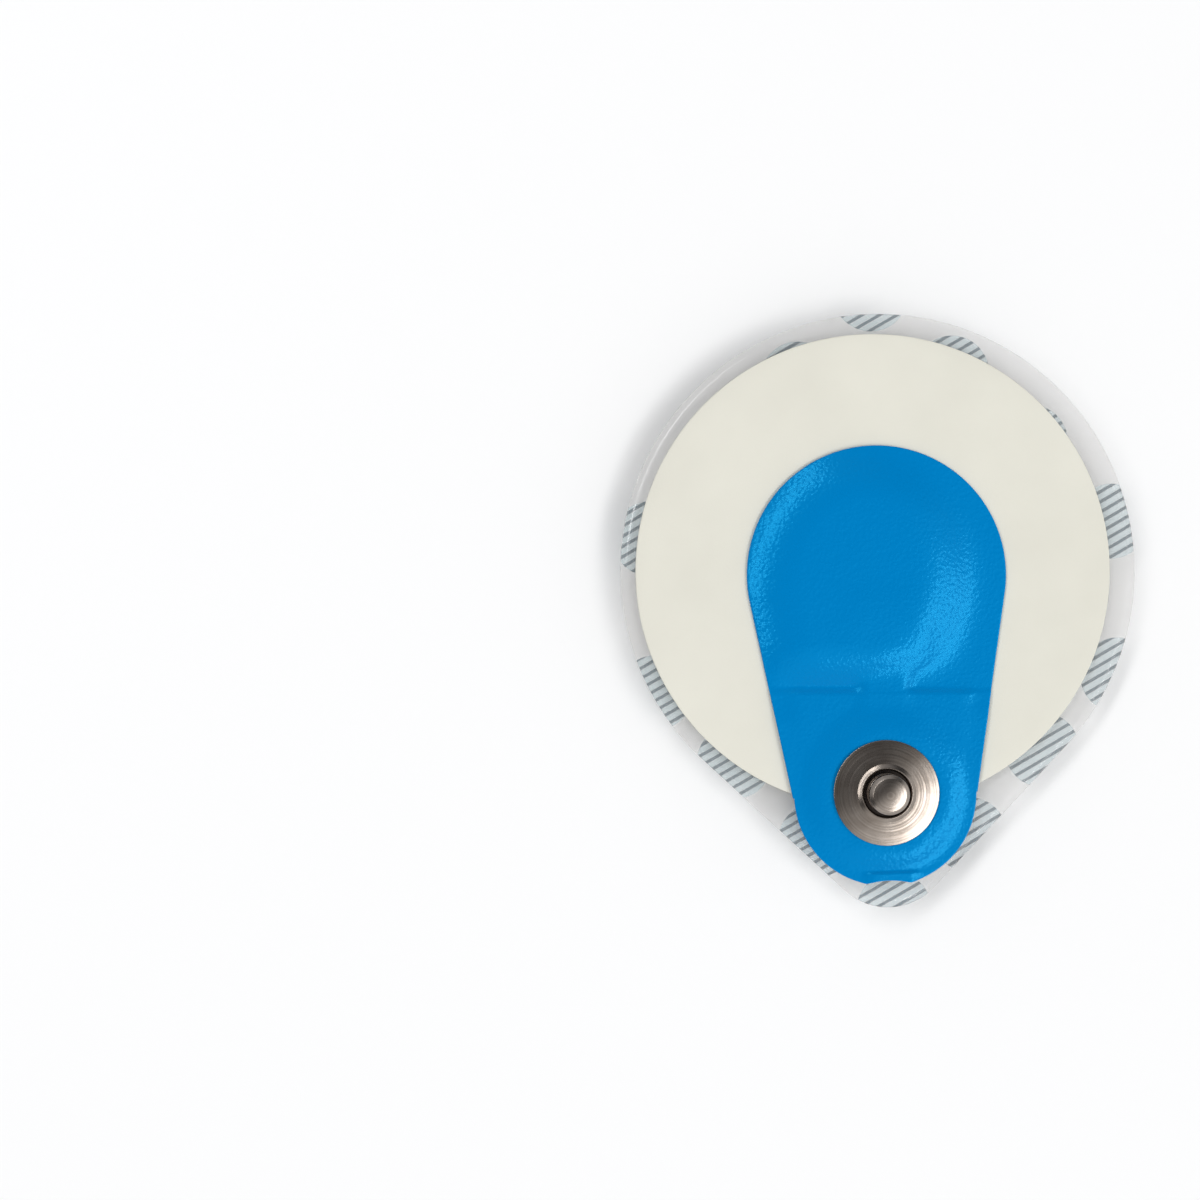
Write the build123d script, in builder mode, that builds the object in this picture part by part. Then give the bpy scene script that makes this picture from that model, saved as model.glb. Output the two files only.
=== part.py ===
from build123d import *
import math
import os

os.makedirs("parts", exist_ok=True)

# An offset-snap ECG electrode on its release liner, in millimetres.
# The origin is the centre of the gel cup's flat base, which rests on the table.
# +Z points up to the snap stud, and the tab lies along -Y.

# Release liner, one clear thermoformed film
liner_radius = 25.7         # round end, about the cup's axis
liner_tip_radius = 6.3      # rounded corner that the thumb peels
liner_tip_reach = 33.65     # from the cup's axis to the tip
liner_film = 0.25
rim_width = 0.6             # pressed edge band
rim_drop = 0.1              # how far the edge band lies below the flange
cup_depth = 3.0             # from the base to the flange's underside
cup_base_radius = 9.0
cup_draft = 25.0            # wall's lean from upright, in degrees
cup_bend = 0.5              # flats across the bends at base and mouth, along each side
pimple_radius = 0.65        # small hollow cups that point down
pimple_depth = 0.5
pimple_rows = [(-21.0, 3.9, 3), (-27.4, 3.7, 2)]    # place in Y, pitch in X, count

# The electrode is stuck a little off the liner's centre, in X
electrode_shift = -0.35

# Foam disc, skin adhesive on its underside
disc_radius = 23.55
disc_foam = 1.0
disc_shift = -0.3           # in X, the disc lies a little to one side of the cover
disc_chord = 21.9           # straight cut under the tab, from the cup's axis
gel_hole_radius = 6.1

# Gel sponge, with a plug that fills the disc's hole and lifts the cover
sponge_side_gap = 0.15      # to the cup's bend, on the side that the disc lies nearer to
plug_clearance = 0.1
plug_rise = 1.05            # plug's top above the disc
plug_chamfer = 0.5

# Sensor pellet, let into the plug
sensor_radius = 2.05
sensor_place = -2.2         # in Y, towards the tab
sensor_thickness = 0.6
sensor_chamfer = 0.15
sensor_post_radius = 0.6
sensor_seat_clearance = 0.05

# Lead strip from the sensor to the snap
strip_thickness = 0.15
strip_neck_width = 2.0
strip_width = 4.4
strip_head_radius = 1.7     # round end over the sensor
strip_wide_from = -9.0      # in Y, where the neck ends
strip_end = -29.6           # in Y
strip_hole_clearance = 0.05

# Tab lining, which closes the tab from below
lining_thickness = 0.3
lining_margin = 1.1         # inside the cover's outline
lining_shift = 0.3          # the lining is stuck a little to one side of the cover
lining_edge_gap = 0.3       # from the foot of the cover's step

# Top cover, one embossed film
cover_film = 0.35
cover_round_radius = 12.85
cover_round_place = -0.4    # in Y
cover_tab_radius = 9.0
cover_tab_place = -22.2     # in Y
snap_place = -21.9          # in Y
dome_flat_radius = 7.7
dome_foot_radius = 10.7
dome_headroom = 0.1         # between the lead strip and the dome's inside
step_place = -11.8          # in Y, where the cover climbs onto the lining
step_run = 0.3
ridge_side_clearance = 0.05
ridge_end_clearance = 0.2
bridge_start = -9.3         # in Y, on the dome's slope
nick_width = 6.0            # shallow notch in the tab's end, across the line where the tab would end
nick_depth = 0.55

# Snap eyelet, clinched into the stud from below
eyelet_radius = 3.75
eyelet_sheet = 0.25
post_radius = 0.9
post_bore_radius = 0.6
post_reach = 1.85           # above the stud's seat
post_lip_radius = 1.45      # top spread out inside the stud's head
post_lip = 0.2
post_clearance = 0.05

# Snap stud, one stamped and hollow cap; heights are above its seat
stud_flange_radius = 5.2
stud_edge_height = 0.34
stud_edge_chamfer = 0.12
stud_land_radius = 4.6      # the flange's flat land starts here
stud_cone_height = 0.6
stud_ring_radius = 2.55
stud_ring_height = 0.82
stud_foot_radius = 2.05     # where the neck's flare meets the ring's top
stud_neck_radius = 1.68
stud_neck_start = 1.05
stud_neck_length = 0.3
stud_head_radius = 1.97     # the size that a snap lead grips
stud_band_start = 1.62
stud_band_length = 0.5
stud_head_round = 0.3       # rounded edge of the head's top, which ends in a bevel at 45 degrees
stud_top_height = 2.55
stud_sheet = 0.32
plateau_margin = 0.25       # flat cover round the stud
plateau_slope_run = 1.9

# Levels in Z
flange_underside = cup_depth
flange_top = flange_underside + liner_film
disc_top = flange_top + disc_foam
lining_top = disc_top + lining_thickness
eyelet_top = lining_top + eyelet_sheet
plug_top = disc_top + plug_rise
sensor_top = plug_top
strip_top = sensor_top + strip_thickness
dome_inside = strip_top + dome_headroom
ridge_inside = lining_top + strip_thickness
plateau_inside = eyelet_top + strip_thickness
stud_seat = plateau_inside + cover_film
overall_height = stud_seat + stud_top_height

# Sizes that follow from others
cup_lean = math.radians(cup_draft)
cup_bend_turn = math.radians(90 - cup_draft) / 2
cup_floor_radius = cup_base_radius - cup_bend - liner_film * math.tan(cup_bend_turn / 2)
cup_mouth_radius = cup_base_radius + cup_depth * math.tan(cup_lean)
cup_rim_radius = cup_mouth_radius + 2 * cup_bend
disc_place = electrode_shift + disc_shift
sponge_radius = cup_floor_radius - sponge_side_gap - abs(disc_place)
plug_radius = gel_hole_radius - plug_clearance
post_hole_radius = post_radius + post_clearance
plateau_radius = stud_flange_radius + plateau_margin
cover_end = cover_tab_place - cover_tab_radius
snap_centre = (electrode_shift, snap_place)
snap_axis = Axis((*snap_centre, 0), (0, 0, 1))
stud_band_top = stud_band_start + stud_band_length
half_right = math.radians(45)
stud_head_bevel = stud_top_height - stud_band_top - stud_head_round * (1 - math.cos(half_right))
stud_top_radius = stud_head_radius - stud_head_bevel - stud_head_round * math.sin(half_right)
stud_neck_top = stud_neck_start + stud_neck_length


def hull_outline(round_radius, round_y, end_radius, end_y):
    # A round end and a smaller end, joined by their two outer tangents
    with BuildSketch() as outline:
        with Locations((0, round_y)):
            Circle(round_radius)
        with Locations((0, end_y)):
            Circle(end_radius)
        make_hull()
    return outline.sketch


def liner_outline(inset):
    tip_y = liner_tip_radius - liner_tip_reach
    return hull_outline(liner_radius - inset, 0, liner_tip_radius - inset, tip_y)


def cover_outline(inset):
    return hull_outline(
        cover_round_radius - inset, cover_round_place, cover_tab_radius - inset, cover_tab_place
    )


def raised_round(place, flat_radius, foot_radius, inside, ground, lift):
    # A low round form, flat on top, with a sloping side.
    # inside is the level of the film's inner face, and lift raises that face by the film.
    centre_x, centre_y = place
    below = ground - cover_film
    with BuildPart() as form:
        with BuildSketch(Plane.XZ.offset(-centre_y).shift_origin((centre_x, centre_y, 0))):
            with BuildLine():
                Polyline(
                    (0, below),
                    (foot_radius, below),
                    (foot_radius, ground + lift),
                    (flat_radius, inside + lift),
                    (0, inside + lift),
                    close=True,
                )
            make_face()
        revolve(axis=Axis((centre_x, centre_y, 0), (0, 0, 1)))
    return form.part


def raised_strip(start_y, end_y, ground, lift):
    # The low ridge that the lead strip makes in the cover, with sides at 45 degrees
    half_top = strip_width / 2 + ridge_side_clearance
    half_foot = half_top + ridge_inside - ground
    below = ground - cover_film
    with BuildPart() as form:
        with BuildSketch(Plane.XZ.offset(-start_y).shift_origin((electrode_shift, start_y, 0))):
            with BuildLine():
                Polyline(
                    (-half_foot, below),
                    (-half_foot, ground + lift),
                    (-half_top, ridge_inside + lift),
                    (half_top, ridge_inside + lift),
                    (half_foot, ground + lift),
                    (half_foot, below),
                    close=True,
                )
            make_face()
        extrude(amount=start_y - end_y)
    return form.part


def cover_relief(lift):
    # All that stands up from the cover's sheet: dome, snap plateau and the strip's ridge
    step_foot = step_place - step_run
    ridge_end = strip_end - ridge_end_clearance
    dome_place = (electrode_shift, cover_round_place)
    dome = raised_round(dome_place, dome_flat_radius, dome_foot_radius, dome_inside, disc_top, lift)
    plateau_foot = plateau_radius + plateau_slope_run
    plateau = raised_round(snap_centre, plateau_radius, plateau_foot, plateau_inside, lining_top, lift)
    bridge = raised_strip(bridge_start, step_foot, disc_top, lift)
    ridge = raised_strip(step_foot, ridge_end, lining_top, lift)
    return [dome, plateau, bridge, ridge]


def pimple_circles(radius):
    with BuildSketch() as circles:
        for row_y, pitch, count in pimple_rows:
            with Locations((0, row_y)):
                with GridLocations(pitch, pitch, count, 1):
                    Circle(radius)
    return circles.sketch


# Release liner: flange with its pressed rim, thermoformed cup and pimples
with BuildPart() as release_liner:
    with BuildSketch(Plane.XY.offset(flange_underside - rim_drop)):
        add(liner_outline(0))
        add(liner_outline(rim_width), mode=Mode.SUBTRACT)
    extrude(amount=liner_film)
    with BuildSketch(Plane.XY.offset(flange_underside)):
        add(liner_outline(rim_width))
        Circle(cup_rim_radius, mode=Mode.SUBTRACT)
    extrude(amount=liner_film)
    with BuildSketch(Plane.XZ):
        with BuildLine():
            bend_across = cup_bend * math.sin(cup_lean)
            bend_up = cup_bend * math.cos(cup_lean)
            Polyline(
                (0, 0),
                (cup_base_radius - cup_bend, 0),
                (cup_base_radius + bend_across, bend_up),
                (cup_mouth_radius - bend_across, flange_underside - bend_up),
                (cup_mouth_radius + cup_bend, flange_underside),
                (cup_rim_radius, flange_underside),
            )
            offset(amount=liner_film, side=Side.LEFT, kind=Kind.INTERSECTION)
        make_face()
    revolve(axis=Axis.Z)
    with BuildSketch(Plane.XY.offset(flange_underside)):
        add(pimple_circles(pimple_radius))
    extrude(amount=-pimple_depth)
    with BuildSketch(Plane.XY.offset(flange_top)):
        add(pimple_circles(pimple_radius - liner_film))
    extrude(amount=-pimple_depth, mode=Mode.SUBTRACT)

# Foam disc with the gel hole and the straight cut under the tab
with BuildPart() as foam_disc:
    with BuildSketch(Plane.XY.offset(flange_top)):
        with Locations((disc_place, 0)):
            Circle(disc_radius)
        with Locations((disc_place, -disc_chord)):
            Rectangle(2 * disc_radius, disc_radius, align=(Align.CENTER, Align.MAX), mode=Mode.SUBTRACT)
        with Locations((disc_place, 0)):
            Circle(gel_hole_radius, mode=Mode.SUBTRACT)
    extrude(amount=disc_foam)

# Gel sponge: a pad in the cup, a plug through the disc and a seat for the sensor
with BuildPart() as gel_sponge:
    with BuildSketch(Plane.XY.offset(liner_film)):
        with Locations((disc_place, 0)):
            Circle(sponge_radius)
    extrude(amount=flange_top - liner_film)
    with BuildSketch(Plane.XY.offset(flange_top)):
        with Locations((disc_place, 0)):
            Circle(plug_radius)
    extrude(amount=plug_top - flange_top)
    chamfer(gel_sponge.edges().filter_by(GeomType.CIRCLE).group_by(Axis.Z)[-1], plug_chamfer)
    with BuildSketch(Plane.XY.offset(sensor_top - sensor_thickness)):
        with Locations((electrode_shift, sensor_place)):
            Circle(sensor_radius + sensor_seat_clearance)
    extrude(amount=sensor_thickness, mode=Mode.SUBTRACT)

# Sensor pellet with a short post through the strip's eye
with BuildPart() as sensor:
    with BuildSketch(Plane.XY.offset(sensor_top - sensor_thickness)):
        with Locations((electrode_shift, sensor_place)):
            Circle(sensor_radius)
    extrude(amount=sensor_thickness)
    chamfer(sensor.edges().group_by(Axis.Z)[0], sensor_chamfer)
    with BuildSketch(Plane.XY.offset(sensor_top)):
        with Locations((electrode_shift, sensor_place)):
            Circle(sensor_post_radius)
    extrude(amount=strip_thickness)

# Lead strip: its side profile steps from sensor to lining to eyelet, cut to its outline
eyelet_near = snap_place + eyelet_radius
eyelet_far = snap_place - eyelet_radius
step_lead = eyelet_sheet + strip_hole_clearance
strip_underside = [
    (sensor_place + strip_head_radius, sensor_top),
    (-plug_radius, sensor_top),
    (bridge_start, lining_top),
    (eyelet_near + 2 * step_lead, lining_top),
    (eyelet_near + step_lead, eyelet_top),
    (eyelet_far - step_lead, eyelet_top),
    (eyelet_far - 2 * step_lead, lining_top),
    (strip_end, lining_top),
]
strip_topside = [(y, z + strip_thickness) for y, z in reversed(strip_underside)]
with BuildPart() as lead_strip:
    with BuildSketch(Plane.YZ.offset(electrode_shift)):
        with BuildLine():
            Polyline(*strip_underside, *strip_topside, close=True)
        make_face()
    extrude(amount=strip_width / 2, both=True)
    with BuildSketch(Plane.XY):
        with Locations((electrode_shift, strip_wide_from)):
            Rectangle(strip_width, strip_wide_from - strip_end, align=(Align.CENTER, Align.MAX))
            Rectangle(strip_neck_width, sensor_place - strip_wide_from, align=(Align.CENTER, Align.MIN))
        with Locations((electrode_shift, sensor_place)):
            Circle(strip_head_radius)
            Circle(sensor_post_radius + strip_hole_clearance, mode=Mode.SUBTRACT)
        with Locations(snap_centre):
            Circle(post_radius + strip_hole_clearance, mode=Mode.SUBTRACT)
    extrude(amount=overall_height, mode=Mode.INTERSECT)

# Tab lining: starts past the cover's step and ends inside the tab's edge
with BuildPart() as tab_lining:
    with BuildSketch(Plane.XY.offset(disc_top)):
        with Locations((electrode_shift + lining_shift, 0)):
            add(cover_outline(lining_margin))
        lining_start = step_place - step_run - lining_edge_gap
        with Locations((electrode_shift + lining_shift, lining_start)):
            Rectangle(
                2 * cover_round_radius,
                2 * cover_round_radius,
                align=(Align.CENTER, Align.MIN),
                mode=Mode.SUBTRACT,
            )
    extrude(amount=lining_thickness)

# Top cover: a stepped sheet, embossed over what it covers, then cut to its outline
cover_underside = [
    (cover_round_radius, disc_top),
    (step_place, disc_top),
    (step_place - step_run, lining_top),
    (cover_end - nick_depth, lining_top),
]
cover_topside = [(y, z + cover_film) for y, z in reversed(cover_underside)]
nick_radius = (nick_width ** 2 / 4 + nick_depth ** 2) / (2 * nick_depth)
with BuildPart() as top_cover:
    with BuildSketch(Plane.YZ.offset(electrode_shift)):
        with BuildLine():
            Polyline(*cover_underside, *cover_topside, close=True)
        make_face()
    extrude(amount=cover_round_radius, both=True)
    add(cover_relief(cover_film))
    add(cover_relief(0), mode=Mode.SUBTRACT)
    with BuildSketch(Plane.XY):
        with Locations((electrode_shift, 0)):
            add(cover_outline(0))
        with Locations((electrode_shift, cover_end + nick_depth - nick_radius)):
            Circle(nick_radius, mode=Mode.SUBTRACT)
        with Locations(snap_centre):
            Circle(post_hole_radius, mode=Mode.SUBTRACT)
    extrude(amount=overall_height, mode=Mode.INTERSECT)

# Snap eyelet: a flat flange and a hollow post, spread inside the stud's head
with BuildPart() as snap_eyelet:
    post_top = stud_seat + post_reach
    with BuildSketch(Plane.XZ.offset(-snap_place).shift_origin((*snap_centre, 0))):
        with BuildLine():
            Polyline(
                (post_bore_radius, lining_top),
                (eyelet_radius, lining_top),
                (eyelet_radius, eyelet_top),
                (post_radius, eyelet_top),
                (post_radius, post_top - post_lip),
                (post_lip_radius, post_top - post_lip),
                (post_lip_radius, post_top),
                (post_bore_radius, post_top),
                close=True,
            )
        make_face()
    revolve(axis=snap_axis)

# Snap stud: a stamped cap with a conical flange, a ring, a neck and a bulged head
with BuildPart() as snap_stud:
    with BuildSketch(Plane.XZ.offset(-snap_place).shift_origin((*snap_centre, stud_seat))):
        with BuildLine():
            crown = Line((0, stud_top_height), (stud_top_radius, stud_top_height))
            head_edge = JernArc(crown @ 1, (1, 0), stud_head_round, -45)
            Polyline(
                head_edge @ 1,
                (stud_head_radius, stud_band_top),
                (stud_head_radius, stud_band_start),
                (stud_neck_radius, stud_neck_top),
                (stud_neck_radius, stud_neck_start),
                (stud_foot_radius, stud_ring_height),
                (stud_ring_radius, stud_ring_height),
                (stud_ring_radius, stud_cone_height),
                (stud_flange_radius - stud_edge_chamfer, stud_edge_height),
                (stud_flange_radius, stud_edge_height - stud_edge_chamfer),
                (stud_flange_radius, 0),
                (stud_land_radius, 0),
                (stud_ring_radius, stud_cone_height - stud_sheet),
                (stud_ring_radius - stud_sheet, stud_ring_height - stud_sheet),
                (stud_neck_radius - stud_sheet, stud_neck_start),
                (stud_neck_radius - stud_sheet, stud_neck_top),
                (stud_head_radius - stud_sheet, stud_band_start),
                (stud_head_radius - stud_sheet, stud_top_height - stud_sheet),
                (0, stud_top_height - stud_sheet),
                crown @ 0,
            )
        make_face()
    revolve(axis=snap_axis)

pieces = {
    "release_liner": release_liner,
    "foam_disc": foam_disc,
    "gel_sponge": gel_sponge,
    "sensor": sensor,
    "lead_strip": lead_strip,
    "tab_lining": tab_lining,
    "top_cover": top_cover,
    "snap_eyelet": snap_eyelet,
    "snap_stud": snap_stud,
}
for name, piece in pieces.items():
    piece.part.label = name
    export_step(piece.part, f"parts/{name}.step")
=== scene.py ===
import math

import bmesh
import bpy
import numpy as np
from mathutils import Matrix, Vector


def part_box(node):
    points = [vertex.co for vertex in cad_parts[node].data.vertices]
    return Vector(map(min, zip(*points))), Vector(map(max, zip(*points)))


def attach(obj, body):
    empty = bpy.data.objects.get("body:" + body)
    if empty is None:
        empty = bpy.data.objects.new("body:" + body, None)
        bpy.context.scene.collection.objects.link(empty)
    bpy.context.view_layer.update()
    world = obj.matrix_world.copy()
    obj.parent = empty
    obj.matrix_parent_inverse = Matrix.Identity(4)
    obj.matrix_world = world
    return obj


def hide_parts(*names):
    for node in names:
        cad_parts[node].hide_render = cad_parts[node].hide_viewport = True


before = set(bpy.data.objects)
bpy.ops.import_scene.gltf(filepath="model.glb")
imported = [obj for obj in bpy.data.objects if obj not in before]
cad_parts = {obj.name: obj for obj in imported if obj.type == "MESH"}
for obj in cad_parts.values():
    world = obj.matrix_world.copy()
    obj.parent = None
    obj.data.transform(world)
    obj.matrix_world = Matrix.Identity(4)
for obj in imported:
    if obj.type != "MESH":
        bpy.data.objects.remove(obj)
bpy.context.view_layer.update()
mm = 0.001
mergeMm = 0.0005                # points nearer than this are one
print("frame loaded")


# Helpers: sizes are in millimetres until a mesh is made

def boxOf(node):
    # A CAD node's lowest and highest corner
    low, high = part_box(node)
    return np.array(low) / mm, np.array(high) / mm


def linear(hexColour):
    # sRGB to linear light: the low end is divided by 12.92, the rest follows the 2.4 power curve
    channels = np.array([int(hexColour[i:i + 2], 16) for i in (1, 3, 5)]) / 255
    light = np.where(channels <= 0.04045, channels / 12.92, ((channels + 0.055) / 1.055) ** 2.4)
    return (*light.tolist(), 1.0)


def smoothStep(start, end, x):
    # 0 before start, 1 after end, and 3t^2 - 2t^3 between them
    t = np.clip((x - start) / (end - start), 0, 1)
    return t * t * (3 - 2 * t)


def softStep(start, end, x):
    # As smoothStep with 6t^5 - 15t^4 + 10t^3, whose bend starts and ends without a crease
    t = np.clip((x - start) / (end - start), 0, 1)
    return t ** 3 * (t * (6 * t - 15) + 10)


def smoothMax(a, b, blend):
    # The larger of two heights, rounded over where they differ by less than the blend
    t = np.clip(0.5 + (a - b) / (2 * blend), 0, 1)
    return b + (a - b) * t + blend * t * (1 - t)


def capsuleDistance(x, y, roundRadius, roundY, endRadius, endY):
    # Distance inwards from a round end and a smaller end joined by tangents: along the spine, then across
    across, along = np.abs(x), roundY - y
    reach = roundY - endY
    lean = (roundRadius - endRadius) / reach
    rise = math.sqrt(1 - lean * lean)
    k = rise * along - lean * across
    side = across * rise + along * lean - roundRadius
    roundEnd = np.hypot(across, along) - roundRadius
    smallEnd = np.hypot(across, along - reach) - endRadius
    return -np.where(k < 0, roundEnd, np.where(k > rise * reach, smallEnd, side))


def roundedLine(corners, radii, steps=6):
    # Straight runs with an arc at each inner corner: the arc starts radius * tan(half the turn) before it.
    # Returns the points and, for each, the direction to the left of the line.
    corners = np.array(corners, float)
    runs = np.diff(corners, axis=0)
    runs /= np.linalg.norm(runs, axis=1)[:, None]
    lefts = np.stack([-runs[:, 1], runs[:, 0]], axis=1)
    points, normals = [corners[:1]], [lefts[:1]]
    for corner, before, after, left, radius in zip(corners[1:-1], runs, runs[1:], lefts, radii):
        turn = math.atan2(before[0] * after[1] - before[1] * after[0], before @ after)
        angles = np.linspace(0, turn, steps)
        cosines, sines = np.cos(angles), np.sin(angles)
        outward = np.stack([left[0] * cosines - left[1] * sines, left[0] * sines + left[1] * cosines], axis=1)
        side = math.copysign(1, turn)
        centre = corner - before * radius * math.tan(abs(turn) / 2) + left * radius * side
        points.append(centre - outward * radius * side)
        normals.append(outward)
    points.append(corners[-1:])
    normals.append(lefts[-1:])
    return np.concatenate(points), np.concatenate(normals)


def turned(profile, centre, segments):
    # A profile of (radius, height) carried round an upright axis: x and y are the radius by cosine and sine
    angles = np.linspace(0, 2 * np.pi, segments, endpoint=False)
    radius, height = profile[:, :1], profile[:, 1:]
    x = centre[0] + radius * np.cos(angles)
    y = centre[1] + radius * np.sin(angles)
    return np.stack([x, y, np.broadcast_to(height, x.shape)], axis=2)


def makePiece(name, points, closedRows, closedColumns, materials, rowMaterial=None, sharpDegrees=35):
    # Rows by columns of points become quads; coinciding points are merged and faces turned outwards
    rows, columns = points.shape[:2]
    lastRow, lastColumn = rows - (not closedRows), columns - (not closedColumns)
    row, column = np.meshgrid(np.arange(lastRow), np.arange(lastColumn), indexing="ij")
    nextRow, nextColumn = (row + 1) % rows, (column + 1) % columns
    quads = np.stack([
        row * columns + column, row * columns + nextColumn,
        nextRow * columns + nextColumn, nextRow * columns + column,
    ], axis=2).reshape(-1, 4)
    mesh = bpy.data.meshes.new(name)
    mesh.vertices.add(rows * columns)
    mesh.vertices.foreach_set("co", (points * mm).astype(np.float32).ravel())
    mesh.loops.add(quads.size)
    mesh.loops.foreach_set("vertex_index", quads.astype(np.int32).ravel())
    mesh.polygons.add(len(quads))
    mesh.polygons.foreach_set("loop_start", np.arange(0, quads.size, 4, dtype=np.int32))
    for material in materials:
        mesh.materials.append(material)
    if rowMaterial is not None:
        faceMaterial = np.repeat(rowMaterial[:lastRow], lastColumn)
        mesh.polygons.foreach_set("material_index", faceMaterial.astype(np.int32))
    mesh.update()
    work = bmesh.new()
    work.from_mesh(mesh)
    bmesh.ops.remove_doubles(work, verts=work.verts, dist=mergeMm * mm)
    bmesh.ops.recalc_face_normals(work, faces=work.faces)
    work.to_mesh(mesh)
    work.free()
    mesh.shade_smooth()
    mesh.set_sharp_from_angle(angle=math.radians(sharpDegrees))
    piece = bpy.data.objects.new(name, mesh)
    bpy.context.scene.collection.objects.link(piece)
    print("made", name, len(mesh.polygons), "faces")
    return piece


def dress(piece, slot, *nodes):
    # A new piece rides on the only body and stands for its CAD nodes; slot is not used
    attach(piece, "root")
    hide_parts(*nodes)


def addNode(tree, kind, inputs=None, **settings):
    # Adds a node; an input given as a node or socket is linked, and anything else is set as its value
    node = tree.nodes.new(kind)
    for key, value in settings.items():
        setattr(node, key, value)
    for key, value in (inputs or {}).items():
        named = [socket for socket in node.inputs if socket.name == key and socket.enabled]
        socket = node.inputs[key] if isinstance(key, int) else named[0]
        if isinstance(value, bpy.types.Node):
            value = next(output for output in value.outputs if output.enabled)
        if isinstance(value, bpy.types.NodeSocket):
            tree.links.new(value, socket)
        else:
            socket.default_value = value
    return node


def feed(tree, shader, name, node):
    # Links a node's result to one of the shader's inputs
    tree.links.new(next(output for output in node.outputs if output.enabled), shader.inputs[name])


def newMaterial(name, surface):
    # A Principled surface with the object's own coordinates in millimetres
    material = bpy.data.materials.new(name)
    material.use_nodes = True
    tree = material.node_tree
    tree.nodes.clear()
    shader = addNode(tree, "ShaderNodeBsdfPrincipled", surface)
    addNode(tree, "ShaderNodeOutputMaterial", {"Surface": shader})
    place = addNode(tree, "ShaderNodeTexCoord").outputs["Object"]
    place = addNode(tree, "ShaderNodeVectorMath", {0: place, "Scale": 1 / mm}, operation="SCALE")
    return material, tree, shader, place


# Picture: which way the electrode lies in the photograph

picture = {
    "rollDegrees": 2.2,         # the tab leans to the picture's right
    "widthMm": 120.0,           # seen at the liner's height
    "distanceMm": 167.0,        # from the lens to that height
    "rightMm": 27.73,           # the electrode lies right of the picture's middle
    "upMm": 2.9,
}
roll = math.radians(picture["rollDegrees"])


# Release liner: thermoformed clear film

liner = {
    "film": 0.25,
    "tipRadius": 6.3,
    "tipDegrees": 15.0,         # half of the sector that the tip lies in, where columns are closer
    "rimWidth": 0.6,
    "rimDrop": 0.1,
    "rimRun": 0.16,             # the step down to the rim
    "rimBeside": 0.14,          # a row each side of the rim's edge keeps the step short
    "edgeRound": 0.1,
    "cupBase": 9.0,
    "cupDraft": 25.0,
    "cupBend": 0.5,
    "cupEnd": 12.0,
    "pimpleRows": ((-21.0, 3.9, 3), (-27.4, 3.7, 2)),   # place in Y, pitch in X, count
    "pimpleShares": (0.37, 0.78),   # of the way from the cup to the outline: rows are closer between these
    "pimpleRadius": 0.65,
    "pimpleSpread": 1.15,       # how much wider than the pressing pin a pimple is
    "pimpleDepth": 0.5,
    "colour": "#dad8d6",
    "faceAlpha": 0.21,          # seen face on, and what a glancing view adds
    "glanceAlpha": 0.72,
    "glancePower": 3.5,
    "ripple": 3.5,
}
liner["radius"] = boxOf("release_liner")[1][0]
liner["tipReach"] = -boxOf("release_liner")[0][1]
liner["depth"] = boxOf("release_liner")[1][2] - liner["film"]


def linerEdge(angle, inset):
    # Distance from the cup's axis to the outline: the big circle, its tangent, then the far side of the
    # tip's circle
    tipDistance = liner["tipReach"] - liner["tipRadius"]
    bigRadius, tipRadius = liner["radius"] - inset, liner["tipRadius"] - inset
    tangentAngle = math.acos((bigRadius - tipRadius) / tipDistance)
    tipAngle = math.atan2(
        tipRadius * math.sin(tangentAngle), tipDistance + tipRadius * math.cos(tangentAngle))
    away = np.abs(angle)
    tangent = bigRadius / np.cos(np.clip(away - tangentAngle, -1, 1))
    besideTip = np.maximum(tipRadius ** 2 - (tipDistance * np.sin(away)) ** 2, 0)
    tip = tipDistance * np.cos(away) + np.sqrt(besideTip)
    return np.where(away > tangentAngle, bigRadius, np.where(away > tipAngle, tangent, tip))


def pimpleDrop(x, y):
    # Each pressed pimple is a half cosine wave deep at its middle
    drop = np.zeros_like(x)
    reach = liner["pimpleRadius"] * liner["pimpleSpread"]
    for rowY, pitch, count in liner["pimpleRows"]:
        for place in range(count):
            centreX = (place - (count - 1) / 2) * pitch
            share = np.clip(np.hypot(x - centreX, y - rowY) / reach, 0, 1)
            drop += liner["pimpleDepth"] * (0.5 + 0.5 * np.cos(np.pi * share))
    return drop


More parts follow.
